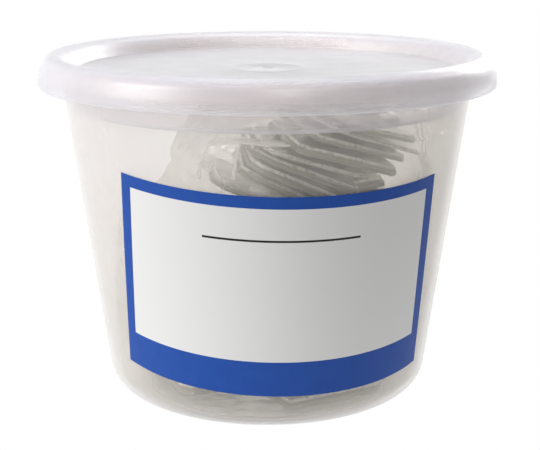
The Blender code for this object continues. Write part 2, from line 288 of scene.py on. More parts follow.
# %% The tub's section
def tub_profile():
    """From the middle of the inner floor, up the inside, over the rim, and down to the base."""
    lean = math.degrees(LEAN)
    inner_round = FOOT_ROUND - WALL
    round_height = RIM_TOP - RIM_ROUND
    lip_end = RIM_TOP - RIM_DROP
    lip_inner = RIM_RADIUS - WALL
    inner_foot = arc((FOOT_RADIUS, FLOOR + inner_round), inner_round, -90.0, -lean, 12)
    inner_wall = [(tub_inner(z * MM), z * MM) for z in WALL_HEIGHTS]
    over_rim = (arc((tub_inner(round_height) + RIM_ROUND, round_height), RIM_ROUND, 180.0, 90.0, 6)
                + arc((RIM_RADIUS - RIM_ROUND, round_height), RIM_ROUND, 90.0, 0.0, 8))
    lip = (arc((RIM_RADIUS - WALL / 2, lip_end + WALL / 2), WALL / 2, 0.0, -180.0, 8)
           + [(lip_inner, RIM_TOP - 2.4 * MM)]
           + arc((lip_inner - LIP_ROUND, RIM_TOP - WALL - LIP_ROUND), LIP_ROUND, 0.0, 90.0, 4))
    neck = RIM_TOP - WALL - NECK_ROUND
    under_rim = arc((tub_outer(neck) + NECK_ROUND, neck), NECK_ROUND, 90.0, 180.0, 3)
    outer_wall = [(tub_outer(z * MM), z * MM) for z in reversed(WALL_HEIGHTS)]
    outer_foot = arc((FOOT_RADIUS, FOOT_ROUND), FOOT_ROUND, -lean, -90.0, 16)
    base = [(RECESS_RADIUS + RECESS_SLOPE, 0.0), (RECESS_RADIUS, RECESS_DEPTH),
            (GATE_RADIUS + GATE_SLOPE, RECESS_DEPTH), (GATE_RADIUS, GATE_DEPTH), (0.0, GATE_DEPTH)]
    return ([(0.0, FLOOR), (20.0 * MM, FLOOR)] + inner_foot + inner_wall + over_rim + lip + under_rim
            + outer_wall + outer_foot + base)


print("points in the tub's section:", len(tub_profile()))

# %% Turn the tub
RIM_MILK = 0.45                  # share of light that thick plastic scatters


def tub_bulk(radius, height):
    """The rolled rim is two walls thick."""
    in_rim = height > RIM_TOP - RIM_DROP - 0.3 * MM and radius > RIM_RADIUS - 1.6 * MM
    return RIM_MILK if in_rim else 0.0


tub = turned(tub_profile())
thicken_look(tub, tub_bulk)
finish(tub, "tub_shell", ["tub"], [polypropylene])

# %% [markdown]
# ## The lid
#
# The lid's fat rim is hollow and grips the tub's rolled rim. A torus would be too round for it: its
# face is fullest just above the lower edge, so it gets a leaning curve of its own. Inside the rim
# the panel is sunk, and a thin skirt below it seals against the wall. The molten plastic came in at
# the panel's middle, where it left a small dimple with a nib, and a faint ring round it.

# %% The lid's measures
LID_RADIUS = 60.0 * MM
LID_TOP = 90.3 * MM
LID_BOTTOM = 82.2 * MM
LID_WALL = 1.1 * MM
CREST_RADIUS = 56.0 * MM
BEAD_HEIGHT = 0.9 * MM
WELL_RADIUS = 50.3 * MM
PANEL_TOP = 85.9 * MM
SKIRT_BOTTOM = 76.6 * MM
SKIRT_WALL = 1.0 * MM
TOUCH_GAP = 0.3 * MM             # left between pieces that touch on the real one
SKIRT_EASE = 0.12 * MM
FACE_POWER = 1.11                # above 1, the quarter curve is flatter than a circle's
RING_LIFT = 0.08 * MM


def skirt_outer(height):
    return tub_inner(height) - TOUCH_GAP - SKIRT_EASE


def lid_rim_face(steps):
    """The rim's outer face, a leaning quarter curve that is fullest just above the bottom edge."""
    fullest = LID_BOTTOM + BEAD_HEIGHT
    points = []
    for i in range(steps + 1):
        angle = math.pi / 2 * (1.0 - i / steps)
        points.append((CREST_RADIUS + (LID_RADIUS - CREST_RADIUS) * math.cos(angle) ** FACE_POWER,
                       fullest + (LID_TOP - fullest) * math.sin(angle) ** FACE_POWER))
    return points


print("the skirt clears the wall by", round((TOUCH_GAP + SKIRT_EASE) / MM, 2), "mm")

# %% The lid's section
def lid_profile():
    """From the panel's middle, up over the rim, down its face, and back along the underside."""
    crest_inside = CREST_RADIUS - 2.6 * MM
    round_height = RIM_TOP - RIM_ROUND
    groove_round = RIM_ROUND + TOUCH_GAP
    gate = [(0.0, PANEL_TOP - 0.15 * MM), (0.35 * MM, PANEL_TOP - 0.2 * MM),
            (0.45 * MM, PANEL_TOP - 0.55 * MM), (1.2 * MM, PANEL_TOP - 0.55 * MM),
            (1.6 * MM, PANEL_TOP - 0.1 * MM), (1.9 * MM, PANEL_TOP)]
    ring = [(8.6 * MM, PANEL_TOP), (8.9 * MM, PANEL_TOP + RING_LIFT),
            (9.3 * MM, PANEL_TOP + RING_LIFT), (9.6 * MM, PANEL_TOP)]
    panel = [(r * MM, PANEL_TOP) for r in (20.0, 32.0, 42.0)]
    well = (arc((WELL_RADIUS - 1.5 * MM, PANEL_TOP + 1.6 * MM), 1.6 * MM, -90.0, -25.0, 6)
            + [(crest_inside - 1.4 * MM, LID_TOP - 2.3 * MM),
               (crest_inside - 0.85 * MM, LID_TOP - 1.45 * MM),
               (crest_inside, LID_TOP - 0.8 * MM), (crest_inside + 0.7 * MM, LID_TOP - 0.38 * MM),
               (CREST_RADIUS - 1.1 * MM, LID_TOP - 0.12 * MM)])
    edge = [(LID_RADIUS - 0.12 * MM, LID_BOTTOM + 0.35 * MM), (LID_RADIUS - 0.5 * MM, LID_BOTTOM),
            (LID_RADIUS - 1.4 * MM, LID_BOTTOM), (RIM_RADIUS, LID_BOTTOM + 0.5 * MM),
            (RIM_RADIUS - 0.2 * MM, LID_BOTTOM + BEAD_HEIGHT), (RIM_RADIUS, LID_BOTTOM + 1.2 * MM)]
    groove = ([(RIM_RADIUS + TOUCH_GAP, RIM_TOP - RIM_DROP - 0.5 * MM)]
              + arc((RIM_RADIUS - RIM_ROUND, round_height), groove_round, 0.0, 90.0, 8)
              + arc((tub_inner(round_height) + RIM_ROUND, round_height), groove_round, 90.0, 180.0, 6))
    skirt_end = skirt_outer(SKIRT_BOTTOM)
    skirt = ([(skirt_outer(SKIRT_BOTTOM + 1.2 * MM), SKIRT_BOTTOM + 1.2 * MM),
              (skirt_end, SKIRT_BOTTOM + 1.0 * MM)]
             + arc((skirt_end - SKIRT_WALL / 2, SKIRT_BOTTOM + SKIRT_WALL / 2), SKIRT_WALL / 2,
                   0.0, -180.0, 6)
             + [(skirt_end - SKIRT_WALL, SKIRT_BOTTOM + 1.2 * MM),
                (skirt_outer(PANEL_TOP) - SKIRT_WALL - 0.3 * MM, PANEL_TOP - LID_WALL - 0.5 * MM),
                (skirt_outer(PANEL_TOP) - SKIRT_WALL - 0.8 * MM, PANEL_TOP - LID_WALL)])
    return (gate + ring + panel + well + lid_rim_face(20) + edge + groove + skirt
            + [(0.0, PANEL_TOP - LID_WALL)])


print("points in the lid's section:", len(lid_profile()))

# %% Turn the lid
BEAD_MILK = 0.55
EDGE_MILK = 0.35


def lid_bulk(radius, height):
    """The skirt ends in a bead, and the rim's lower edge is thick."""
    if height < SKIRT_BOTTOM + 1.1 * MM:
        return BEAD_MILK
    return EDGE_MILK if height < LID_BOTTOM + 0.5 * MM and radius > RIM_RADIUS - MM else 0.0


lid = turned(lid_profile())
thicken_look(lid, lid_bulk)
finish(lid, "lid_shell", ["lid"], [polyethylene])

# %% [markdown]
# ## Label stock
#
# The label is coated white paper printed in one blue and one black. The print is a frame with a
# heavier foot and one thin rule. It could be cut into the mesh, but nodes that measure millimetres
# on the sheet's own map stay sharp and leave the sheet whole. The paper's fibres show as a faint
# tooth, and the ink lies a little unevenly.

# %% The print's layout
LABEL_WIDTH = 85.4 * MM
LABEL_HEIGHT = 52.0 * MM
# On the sheet, in mm from its lower left corner: left, right, foot and top
PANEL_EDGES = (3.0, 82.1, 9.3, 49.0)
RULE_EDGES = (23.1, 61.4, 40.65, 41.2)
INK_BLUR = 0.05                  # half width of an ink's soft edge, in mm


def inside(tree, place, edges):
    """1 inside a rectangle of the sheet, with a soft edge as in ink on paper."""
    left, right, foot, top = edges
    share = None
    for axis, edge, blur in (("X", left, INK_BLUR), ("X", right, -INK_BLUR),
                             ("Y", foot, INK_BLUR), ("Y", top, -INK_BLUR)):
        ramp = add_node(tree, "ShaderNodeMapRange", {"From Min": edge - blur, "From Max": edge + blur},
                        {"Value": place.outputs[axis]}).outputs["Result"]
        share = ramp if share is None else add_node(
            tree, "ShaderNodeMath", {"operation": "MULTIPLY"}, {0: share, 1: ramp}).outputs[0]
    return share


print("white panel:", PANEL_EDGES[1] - PANEL_EDGES[0], "by", PANEL_EDGES[3] - PANEL_EDGES[2], "mm")

# %% Printed paper
def printed_paper():
    """In a colour Mix, sockets 6 and 7 are the colours A and B, and output 2 is the result."""
    material, tree, output = start_material("coated_label_paper")
    sheet_map = add_node(tree, "ShaderNodeUVMap", {"uv_map": "sheet"})
    place = add_node(tree, "ShaderNodeSeparateXYZ", {}, {0: sheet_map.outputs["UV"]})
    fibres = add_node(tree, "ShaderNodeTexNoise", {"Scale": 6.0, "Detail": 5.0, "Roughness": 0.65},
                      {"Vector": sheet_map.outputs["UV"]})
    blotches = add_node(tree, "ShaderNodeTexNoise", {"Scale": 0.25, "Detail": 2.0},
                        {"Vector": sheet_map.outputs["UV"]})
    blue = add_node(tree, "ShaderNodeMix",
                    {"data_type": "RGBA", 6: linear("0D3C8C"), 7: linear("154796")},
                    {0: blotches.outputs["Fac"]})
    white = add_node(tree, "ShaderNodeMix",
                     {"data_type": "RGBA", 6: linear("C5C5C5"), 7: linear("D0CFCE")},
                     {0: fibres.outputs["Fac"]})
    ground = add_node(tree, "ShaderNodeMix", {"data_type": "RGBA"},
                      {0: inside(tree, place, PANEL_EDGES), 6: blue.outputs[2], 7: white.outputs[2]})
    inked = add_node(tree, "ShaderNodeMix", {"data_type": "RGBA", 7: linear("1B1714")},
                     {0: inside(tree, place, RULE_EDGES), 6: ground.outputs[2]})
    tooth = add_node(tree, "ShaderNodeBump", {"Strength": 0.15, "Distance": 0.02 * MM},
                     {"Height": fibres.outputs["Fac"]})
    paper = add_node(tree, "ShaderNodeBsdfPrincipled",
                     {"Roughness": 0.5, "IOR": 1.5, "Specular IOR Level": 0.25},
                     {"Base Color": inked.outputs[2], "Normal": tooth.outputs["Normal"]})
    tree.links.new(paper.outputs[0], output.inputs["Surface"])
    return material


label_paper = printed_paper()
print("paper:", label_paper.name)

# %% [markdown]
# ## The label
#
# A flat sheet only bends one way, so on a leaning wall its edges run in gentle arcs. A projection on
# the wall would stretch it. Instead the grid is laid on the cone as if the cone were unrolled flat
# about its tip, which keeps every length on the sheet true. Solidify then gives it the thickness of
# paper.

# %% Wrap the sheet on the cone
LABEL_CENTRE_HEIGHT = 36.2 * MM
LABEL_AZIMUTH = math.radians(-90.0 + 4.5)
LABEL_TILT = math.radians(-1.3)
LABEL_PAPER = 0.2 * MM
LABEL_GRID = (96, 12)            # squares along and up the sheet


def on_wall(along, up, lift):
    """A point of the flat label laid on the cone, which is unrolled about its apex."""
    apex_distance = tub_outer(LABEL_CENTRE_HEIGHT) / math.sin(LEAN)
    east = along * math.cos(LABEL_TILT) - up * math.sin(LABEL_TILT)
    north = apex_distance + along * math.sin(LABEL_TILT) + up * math.cos(LABEL_TILT)
    radius = math.hypot(east, north) * math.sin(LEAN)
    azimuth = LABEL_AZIMUTH + math.atan2(east, north) / math.sin(LEAN)
    radial = Vector((math.cos(azimuth), math.sin(azimuth), 0.0))
    outward = radial * math.cos(LEAN) - Vector((0.0, 0.0, math.sin(LEAN)))
    return radial * radius + Vector((0.0, 0.0, (radius - BASE_RADIUS) / TAPER)) + outward * lift


def add_modifier(piece, kind, settings):
    """Add a modifier, set it, and apply it."""
    modifier = piece.modifiers.new(kind.title(), kind)
    for key, value in settings.items():
        setattr(modifier, key, value)
    bpy.context.view_layer.objects.active = piece
    bpy.ops.object.modifier_apply(modifier=modifier.name)


deselect()
bpy.ops.mesh.primitive_grid_add(x_subdivisions=LABEL_GRID[0], y_subdivisions=LABEL_GRID[1], size=1.0)
label = bpy.context.object
label.data.uv_layers.active.name = "sheet"
for corner in label.data.uv_layers["sheet"].data:
    corner.uv = (corner.uv[0] * LABEL_WIDTH / MM, corner.uv[1] * LABEL_HEIGHT / MM)
for vert in label.data.vertices:
    vert.co = on_wall(vert.co.x * LABEL_WIDTH, vert.co.y * LABEL_HEIGHT, TOUCH_GAP)
add_modifier(label, "SOLIDIFY", {"thickness": LABEL_PAPER, "offset": 1.0})
bpy.ops.object.shade_smooth_by_angle(angle=SMOOTH_ANGLE)
finish(label, "label_sheet", ["label"], [label_paper])

# %% [markdown]
# ## Bag film
#
# The bag is thin polyethylene film. It is nearly clear when looked at squarely, and bright where it
# turns edge on. Its gloss is sharper than a moulded wall's, and small wrinkles break it up. Along a
# fold it lies double and looks whiter, and along the long creases that white is partly painted
# highlight. An attribute on the film holds how white each point is.

# %% Clear film
WRINKLE_SIZE = 4.0 * MM
FILM_GLOSS_ROUGHNESS = 0.12


def clear_film():
    material, tree, output = start_material("polyethylene_film")
    coordinates = add_node(tree, "ShaderNodeTexCoord")
    creases = add_node(tree, "ShaderNodeTexVoronoi",
                       {"feature": "F1", "distance": "EUCLIDEAN", "Scale": 1.0 / WRINKLE_SIZE},
                       {"Vector": coordinates.outputs["Object"]})
    wrinkle = add_node(tree, "ShaderNodeBump", {"Strength": 0.7, "Distance": 0.8 * MM},
                       {"Height": creases.outputs["Distance"]})
    see_through = add_node(tree, "ShaderNodeBsdfTransparent", {"Color": linear("FCFCFA")})
    gloss = add_node(tree, "ShaderNodeBsdfPrincipled",
                     {"Base Color": linear("FFFEFC"), "Roughness": 0.18, "IOR": 1.5},
                     {"Normal": wrinkle.outputs["Normal"]})
    scatter = add_node(tree, "ShaderNodeBsdfTranslucent", {"Color": linear("FFFDFA")})
    white = add_node(tree, "ShaderNodeMixShader", {0: 0.7},
                     {1: gloss.outputs[0], 2: scatter.outputs[0]})
    facing = add_node(tree, "ShaderNodeLayerWeight", {"Blend": 0.3},
                      {"Normal": wrinkle.outputs["Normal"]})
    film_share = add_node(tree, "ShaderNodeMapRange", {"To Min": 0.03, "To Max": 0.5},
                          {"Value": facing.outputs["Facing"]})
    # How white the film is; along the long creases this is partly painted highlight
    fold_white_and_highlight = add_node(tree, "ShaderNodeAttribute", {"attribute_name": "fold_white_and_highlight"})
    share = add_node(tree, "ShaderNodeMath", {"operation": "MAXIMUM"},
                     {0: film_share.outputs["Result"], 1: fold_white_and_highlight.outputs["Fac"]})
    whole = add_node(tree, "ShaderNodeMixShader", {},
                     {0: share.outputs[0], 1: see_through.outputs[0], 2: white.outputs[0]})
    skin_gloss = glossed(tree, whole.outputs[0], FILM_GLOSS_ROUGHNESS, wrinkle.outputs["Normal"])
    tree.links.new(skin_gloss, output.inputs["Surface"])
    return material


film = clear_film()
print("film:", film.name)

# %% [markdown]
# ## The bag
#
# The plates press the pouch out against the wall. Above them the film turns in at a shoulder, lower
# on the left where nothing fills it, and runs up to the loose mouth. Simulated cloth would hang too
# softly for this stiff film, and its creases would fall anywhere. So the pouch is a stack of
# squarish sections, and its few long creases are lines drawn on it by bearing and height. Their
# white is partly the folded film's own and partly painted highlight.

# %% The pouch's form
BAG_FILM = 0.12 * MM
BAG_CLEARANCE = 0.6 * MM
BAG_NECK = 4.0 * MM
BAG_FLOOR_HEIGHT = 1.8 * MM
BAG_FLOOR_RADIUS = 35.5 * MM
BAG_SQUARENESS = 2.6             # 2 is an oval, and more is squarer
MOUTH_HEIGHT = 83.8 * MM
MOUTH_CENTRE = Vector((13.0, -6.0)) * MM
MOUTH_RADIUS = 10.0 * MM
# Height, centre x, centre y, half width in x and in y, all in mm
BAG_SECTIONS = (
    (1.8, 0.0, 0.0, 35.5, 35.5),
    (3.4, 0.0, 0.0, 38.5, 38.5),
    (9.0, 0.0, 0.0, 40.5, 40.5),
    (26.0, 1.0, 0.0, 42.0, 42.0),
    (46.0, 3.0, 0.0, 43.0, 44.0),
    (54.0, 9.0, -1.0, 39.0, 46.0),
    (63.0, 13.0, -3.0, 38.0, 48.0),
    (71.0, 13.0, -6.0, 39.0, 47.0),
    (80.0, 13.0, -9.0, 38.0, 42.0),
)
# Bearing in degrees and height of the shoulder in mm, all the way round
SHOULDER = ((-180.0, 66.0), (-125.0, 66.0), (-111.0, 68.2), (-106.6, 73.2), (-98.0, 74.5),
            (-86.0, 73.7), (-70.0, 78.5), (60.0, 79.0), (110.0, 74.0), (150.0, 67.0), (180.0, 66.0))
# Each crease: its points as bearing in degrees and height in mm, its half width in mm, and its
# whiteness, which is partly painted highlight
CREASES = (
    (((-112.5, 64.0), (-110.8, 68.2), (-106.6, 73.2), (-97.9, 74.5), (-91.9, 73.9), (-84.0, 73.7)),
     0.3, 1.0),
    (((-97.7, 74.0), (-98.3, 70.9), (-99.6, 65.5)), 0.5, 0.85),
    (((-106.0, 71.0), (-107.4, 69.0), (-108.6, 67.6)), 1.6, 0.75),
    (((-43.3, 76.5), (-40.8, 69.7), (-38.0, 63.0)), 0.5, 0.5),
    (((-40.9, 76.0), (-38.7, 69.4), (-35.1, 62.9)), 0.5, 0.5),
    (((-40.3, 67.8), (-35.0, 64.0)), 1.6, 0.65),
    (((-94.2, 63.4), (-90.6, 62.6)), 1.0, 0.6),
    (((-85.4, 78.4), (-76.2, 77.2)), 0.6, 0.5),
)


def bag_limit(height):
    """The furthest that the film may reach inside the foot, the wall and the sealing skirt."""
    inner_round = FOOT_ROUND - WALL
    centre_height = FLOOR + inner_round
    if height < centre_height:
        wall = FOOT_RADIUS + math.sqrt(inner_round ** 2 - (centre_height - height) ** 2)
    elif height < SKIRT_BOTTOM - BAG_NECK:
        wall = tub_inner(height)
    else:
        wall = skirt_outer(SKIRT_BOTTOM) - SKIRT_WALL
    return wall - BAG_CLEARANCE


def between(table, value):
    """Blend the rows of a table by its first column."""
    for low, high in zip(table, table[1:]):
        if value <= high[0]:
            share = max(0.0, (value - low[0]) / (high[0] - low[0]))
            return [a + (b - a) * share for a, b in zip(low, high)]
    return list(table[-1])


def side_point(height, angle):
    """The film's place on the pouch's squarish side, pressed flat where it meets the wall."""
    _, centre_x, centre_y, half_x, half_y = [value * MM for value in between(BAG_SECTIONS, height / MM)]
    east, north = math.cos(angle), math.sin(angle)
    bulge = (abs(east) ** BAG_SQUARENESS + abs(north) ** BAG_SQUARENESS) ** (-1 / BAG_SQUARENESS)
    point = Vector((centre_x + half_x * bulge * east, centre_y + half_y * bulge * north))
    return point * min(1.0, bag_limit(height) / point.length)


def distance_to_line(spot, line):
    """The shortest distance from a spot to a bent line in the plane."""
    nearest = 1e9
    for start, end in zip(line, line[1:]):
        run = end - start
        share = max(0.0, min(1.0, (spot - start).dot(run) / run.length_squared))
        nearest = min(nearest, (spot - start - run * share).length)
    return nearest


print("the film stands", round(bag_limit(MOUTH_HEIGHT) / MM, 1), "mm from the axis at most, at the lid")

# %% [markdown]
# ### The crumpled skin
#
# The rings run up the side, crowd together at the shoulder, and cross to the pleated mouth. Loose
# film buckles into flat facets with sharp folds between them, as a pattern of cells does, so such a
# pattern pushes the skin in. Where plates press the film out, little of the crumpling is left.

# %% A ring's place on the pouch
BAG_STEPS = 400
SIDE_RINGS = 84
TOP_RINGS = 26
RING_CROWDING = 1.6              # above 1, the rings lie closer towards the shoulder
MOUTH_RISE = 0.6                 # below 1, the film rises early on its way to the mouth
PLEAT_COUNT = 9.0
PLEAT_DEPTH = 0.22
PLEAT_SWAY = 2.0                 # makes the pleats uneven
BEARING_HEIGHT = 70.0 * MM       # a point's bearing is read where the pouch is full


def ring_place(ring, angle, shoulder):
    """The smooth film's place and height on a ring, and how far along the ring is to the mouth."""
    if ring <= SIDE_RINGS:
        below = (1.0 - ring / SIDE_RINGS) ** RING_CROWDING
        height = shoulder - (shoulder - BAG_FLOOR_HEIGHT) * below
        return side_point(height, angle), height, 0.0
    top = (ring - SIDE_RINGS) / TOP_RINGS
    wave = math.sin(PLEAT_COUNT * angle + PLEAT_SWAY * math.sin(2.0 * angle))
    pleats = 1.0 + PLEAT_DEPTH * top * top * wave
    mouth = MOUTH_CENTRE + Vector((math.cos(angle), math.sin(angle))) * MOUTH_RADIUS * pleats
    height = shoulder + (MOUTH_HEIGHT - shoulder) * top ** MOUTH_RISE
    return side_point(shoulder, angle).lerp(mouth, top), height, top


print("rings on the pouch:", SIDE_RINGS + TOP_RINGS)

# %% Where the film is loose
TIGHT = 0.12                     # share of the crumpling that is left where the film is taut
LOOSE_FROM = 50.0 * MM           # height where nothing fills the bag any more
LOOSE_BLEND = 8.0 * MM
LOOSE_BEARING = -80.0            # in degrees; further to the left the film gets loose
BEARING_BLEND = 20.0
BACK_BLEND = 90.0                # round the back it gets loose slowly


def looseness(bearing, height):
    """How freely the film crumples: most at the upper left, where no plate presses it out."""
    if bearing < 0.0:
        on_left = min(1.0, max(0.0, (LOOSE_BEARING - bearing) / BEARING_BLEND))
    else:
        on_left = min(1.0, bearing / BACK_BLEND)
    return TIGHT + (1.0 - TIGHT) * on_left * min(1.0, max(0.0, (height - LOOSE_FROM) / LOOSE_BLEND))


print("looseness at the upper left:", looseness(-150.0, MOUTH_HEIGHT))

# %% Facets, folds and creases
FACET = 8.0 * MM                 # spacing of the flat facets
FACET_SQUASH = 1.2               # facets are less high than wide
FACET_PUSH = 2.0                 # how far a facet's middle goes in, in mm for each cell of the pattern
RIPPLE_PUSH = 0.5                # the same for the finer ripples, in mm
RIPPLE_SCALE = 2.3
TOP_LOOSE = 0.4                  # looseness above the shoulder
GATHERED_WHITE = 0.14            # whiteness of loose film, and of the sharp folds between its facets
FOLD_WHITE = 0.16
FOLD_WIDTH = 0.12                # in cells of the pattern
CREASE_REACH = 2.5               # a crease fades out within this many half widths
CREASED_TOP = 0.3                # no crease runs further than this towards the mouth
WALL_RADIUS = 49.0               # turns a bearing into mm along the wall
crease_lines = [([Vector((math.radians(bearing) * WALL_RADIUS, height)) for bearing, height in line],
                 half_width, white) for line, half_width, white in CREASES]


def crease_white_and_highlight(place, height):
    """The whiteness that the long creases give at a place, partly a painted highlight."""
    spot = Vector((math.atan2(place.y, place.x) * WALL_RADIUS, height / MM))
    strongest = 0.0
    for line, half_width, white in crease_lines:
        near = distance_to_line(spot, line) / half_width
        if near < CREASE_REACH:
            strongest = max(strongest, white * math.exp(-near * near))
    return strongest


def bag_point(ring, angle):
    """The film's point on a ring and its whiteness there."""
    probe = side_point(BEARING_HEIGHT, angle)
    bearing = math.degrees(math.atan2(probe.y, probe.x))
    place, height, top = ring_place(ring, angle, between(SHOULDER, bearing)[1] * MM)
    spot = Vector((place.x, place.y, height * FACET_SQUASH)) / FACET
    distances, _ = noise.voronoi(spot)
    cell = distances[1] - distances[0]
    loose = looseness(bearing, height)
    crumple = FACET_PUSH * cell + RIPPLE_PUSH * abs(noise.noise(spot * RIPPLE_SCALE))
    push = crumple * MM * (loose if top == 0.0 else TOP_LOOSE)
    place *= 1.0 - push / place.length
    fold_white_and_highlight = (max(0.0, loose - TIGHT) * GATHERED_WHITE
            + FOLD_WHITE * loose * max(0.0, 1.0 - cell / FOLD_WIDTH))
    if top < CREASED_TOP:
        # Along the long creases the white is partly painted highlight
        fold_white_and_highlight = max(fold_white_and_highlight, crease_white_and_highlight(place, height))
    return Vector((place.x, place.y, height)), fold_white_and_highlight


print("creases drawn on the film:", len(crease_lines))

# %% [markdown]
# ### From circle to pouch
#
# A circle is extruded up ring by ring, so the height of a point says which ring it belongs to. Then
# each point is set in its place, and Solidify gives the film its thickness.

# %% Extrude the rings and shape them
deselect()
bpy.ops.mesh.primitive_circle_add(vertices=BAG_STEPS, radius=BAG_FLOOR_RADIUS, fill_type="TRIFAN",
                                  location=(0.0, 0.0, BAG_FLOOR_HEIGHT))
bpy.ops.object.transform_apply(location=True, rotation=False, scale=False)
bag = bpy.context.object
bpy.ops.object.mode_set(mode="EDIT")
bpy.ops.mesh.select_all(action="SELECT")
bpy.ops.mesh.region_to_loop()
for _ in range(SIDE_RINGS + TOP_RINGS):
    bpy.ops.mesh.extrude_region_move(TRANSFORM_OT_translate={"value": (0.0, 0.0, MM)})
bpy.ops.object.mode_set(mode="OBJECT")
fold_white_and_highlight = bag.data.attributes.new("fold_white_and_highlight", "FLOAT", "POINT")
for vert in bag.data.vertices:
    if math.hypot(vert.co.x, vert.co.y) > MM:
        ring = round((vert.co.z - BAG_FLOOR_HEIGHT) / MM)
        vert.co, fold_white_and_highlight.data[vert.index].value = bag_point(ring, math.atan2(vert.co.y, vert.co.x))
bpy.ops.object.mode_set(mode="EDIT")
bpy.ops.mesh.select_all(action="SELECT")
bpy.ops.mesh.normals_make_consistent(inside=False)
bpy.ops.object.mode_set(mode="OBJECT")
add_modifier(bag, "SOLIDIFY", {"thickness": BAG_FILM, "offset": -1.0})
bpy.ops.object.shade_smooth_by_angle(angle=math.radians(50.0))
finish(bag, "film_bag", ["bag"], [film])

# %% [markdown]
# ## Muscovite mica
#
# Mica is a book of leaves. Along the leaves it splits into faces as smooth as glass, which look pale
# olive through a few millimetres. Across the leaves it tears into a silvery stack of fine lines, so
# a plate needs two finishes. The face is a clear sheet with slow ripples, and its tint comes from
# absorption, so that a thicker plate is darker.

# %% The cleavage face
MICA_IOR = 1.58
FACE_RIPPLE = 4.0 * MM


def cleavage_face():
    material, tree, output = start_material("muscovite_cleavage_face")
    coordinates = add_node(tree, "ShaderNodeTexCoord")
    ripples = add_node(tree, "ShaderNodeTexNoise", {"Scale": 1.0 / FACE_RIPPLE, "Detail": 4.0},
                       {"Vector": coordinates.outputs["Object"]})
    wave = add_node(tree, "ShaderNodeBump", {"Strength": 0.25, "Distance": 0.25 * MM},
                    {"Height": ripples.outputs["Fac"]})
    sheet = add_node(tree, "ShaderNodeBsdfPrincipled",
                     {"Base Color": linear("F4F4EC"), "Roughness": 0.10, "IOR": MICA_IOR,
                      "Transmission Weight": 0.62},
                     {"Normal": wave.outputs["Normal"]})
    tint = add_node(tree, "ShaderNodeVolumeAbsorption", {"Color": linear("A2A490"), "Density": 120.0})
    tree.links.new(sheet.outputs[0], output.inputs["Surface"])
    tree.links.new(tint.outputs[0], output.inputs["Volume"])
    return material


mica_face = cleavage_face()
print("face:", mica_face.name)

# %% [markdown]
# ### The torn edge
#
# The uppermost leaves fray, and the air between them turns the edge silvery. The white specks in
# that band are partly the leaves' real silver and partly painted glints, a painted highlight. Below it
# the leaves' ends are grey streaks that wander a little. The attribute named depth holds the
# distance below the plate's top in millimetres, so both follow the leaves on a plate that leans.

# %% Streaks and painted glints
LEAF_LINE = 0.5                  # spacing of the lines in mm; the real leaves are too fine to show
SPECK = 0.8 * MM
WANDER_LENGTH = 6.0 * MM
WANDER = 0.8                     # in mm
FRAY_BAND = (0.85, 0.60)         # depths in mm between which the painted glints fade in


def torn_edge():
    material, tree, output = start_material("muscovite_torn_edge")
    coordinates = add_node(tree, "ShaderNodeTexCoord")
    depth = add_node(tree, "ShaderNodeAttribute", {"attribute_name": "depth"})
    specks = add_node(tree, "ShaderNodeTexNoise", {"Scale": 1.0 / SPECK, "Detail": 3.0},
                      {"Vector": coordinates.outputs["Object"]})
    wander = add_node(tree, "ShaderNodeTexNoise", {"Scale": 1.0 / WANDER_LENGTH, "Detail": 2.0},
                      {"Vector": coordinates.outputs["Object"]})
    drift = add_node(tree, "ShaderNodeMath", {"operation": "MULTIPLY_ADD", 1: WANDER},
                     {0: wander.outputs["Fac"], 2: depth.outputs["Fac"]})
    streaks = add_node(tree, "ShaderNodeTexNoise",
                       {"noise_dimensions": "1D", "Scale": 1.0 / LEAF_LINE, "Detail": 3.0,
                        "Roughness": 0.7},
                       {"W": drift.outputs[0]})
    body = add_node(tree, "ShaderNodeMix",
                    {"data_type": "RGBA", 6: linear("8E9083"), 7: linear("BCBDB0")},
                    {0: streaks.outputs["Fac"]})
    frayed = add_node(tree, "ShaderNodeMapRange",
                      {"From Min": FRAY_BAND[0], "From Max": FRAY_BAND[1]},
                      {"Value": depth.outputs["Fac"]})
    # White noise specks in the frayed band: partly the leaves' real silver, partly painted glints
    painted_glints = add_node(tree, "ShaderNodeMapRange", {"From Min": 0.32, "From Max": 0.50},
                      {"Value": specks.outputs["Fac"]})
    painted_glint_share = add_node(tree, "ShaderNodeMath", {"operation": "MULTIPLY"},
                      {0: frayed.outputs["Result"], 1: painted_glints.outputs["Result"]}).outputs[0]
    # The specks are painted white over the streaked body, a painted highlight
    colour = add_node(tree, "ShaderNodeMix", {"data_type": "RGBA", 7: linear("FFFFFE")},
                      {0: painted_glint_share, 6: body.outputs[2]})
    relief = add_node(tree, "ShaderNodeBump", {"Strength": 0.9, "Distance": 0.4 * MM},
                      {"Height": specks.outputs["Fac"]})
    metallic = add_node(tree, "ShaderNodeMath", {"operation": "MULTIPLY", 1: 0.3}, {0: painted_glint_share})
    edge = add_node(tree, "ShaderNodeBsdfPrincipled", {"Roughness": 0.35, "IOR": MICA_IOR},
                    {"Base Color": colour.outputs[2], "Metallic": metallic.outputs[0],
                     "Normal": relief.outputs["Normal"]})
    shine = add_node(tree, "ShaderNodeBsdfTranslucent", {"Color": linear("F6F5EE")})
    lit = add_node(tree, "ShaderNodeMapRange", {"To Min": 0.2, "To Max": 0.12}, {"Value": painted_glint_share})
    whole = add_node(tree, "ShaderNodeMixShader", {},
                     {0: lit.outputs["Result"], 1: edge.outputs[0], 2: shine.outputs[0]})
    tree.links.new(whole.outputs[0], output.inputs["Surface"])
    return material


mica_edge = torn_edge()
print("edge:", mica_edge.name)

